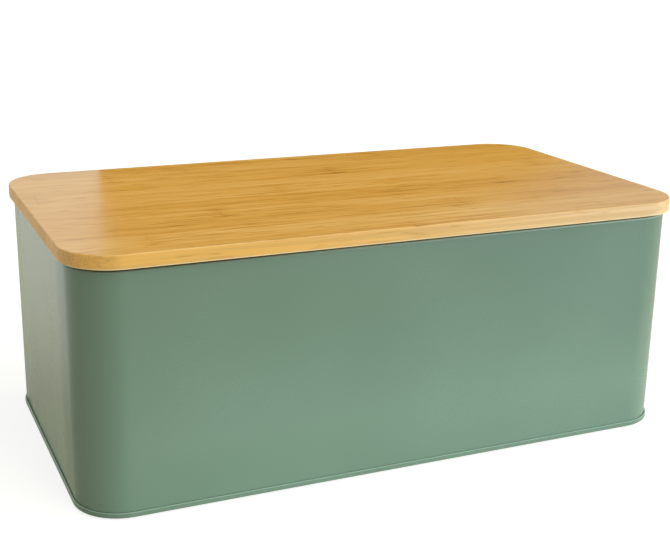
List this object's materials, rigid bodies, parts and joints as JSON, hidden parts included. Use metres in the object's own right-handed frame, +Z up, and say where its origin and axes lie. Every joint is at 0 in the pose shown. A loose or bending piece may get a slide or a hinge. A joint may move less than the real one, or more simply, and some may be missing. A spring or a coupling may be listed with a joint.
{
  "type": "bread bin",
  "caption": "Rounded-rectangle sheet-steel bread bin with a rolled mouth, a double-seamed foot and a lift-off bamboo board lid that plugs into the mouth.",
  "frame": {"origin": "on the table under the middle of the bin", "axes": "+X along the length, to the right as seen from the front; -Y is the front; +Z up"},
  "size_m": [0.343, 0.188, 0.1329],
  "materials": {
    "sage_paint": "satin",
    "bamboo": "satin oiled",
    "pad_rubber": "matt"
  },
  "bodies": {
    "bin": {"body_wall": "sage_paint", "base_pan": "sage_paint", "pad_front_left": "pad_rubber", "pad_front_right": "pad_rubber", "pad_back_left": "pad_rubber", "pad_back_right": "pad_rubber"},
    "lid": {"lid_stave_01": "bamboo", "lid_stave_02": "bamboo", "lid_stave_03": "bamboo", "lid_stave_04": "bamboo", "lid_stave_05": "bamboo", "lid_stave_06": "bamboo", "lid_stave_07": "bamboo", "lid_stave_08": "bamboo", "lid_stave_09": "bamboo", "lid_stave_10": "bamboo"}
  },
  "joints": [
    {"name": "lid_lift", "type": "slide", "parent": "bin", "child": "lid", "axis": [0, 0, 1], "range_m": [0, 0.07]}
  ]
}
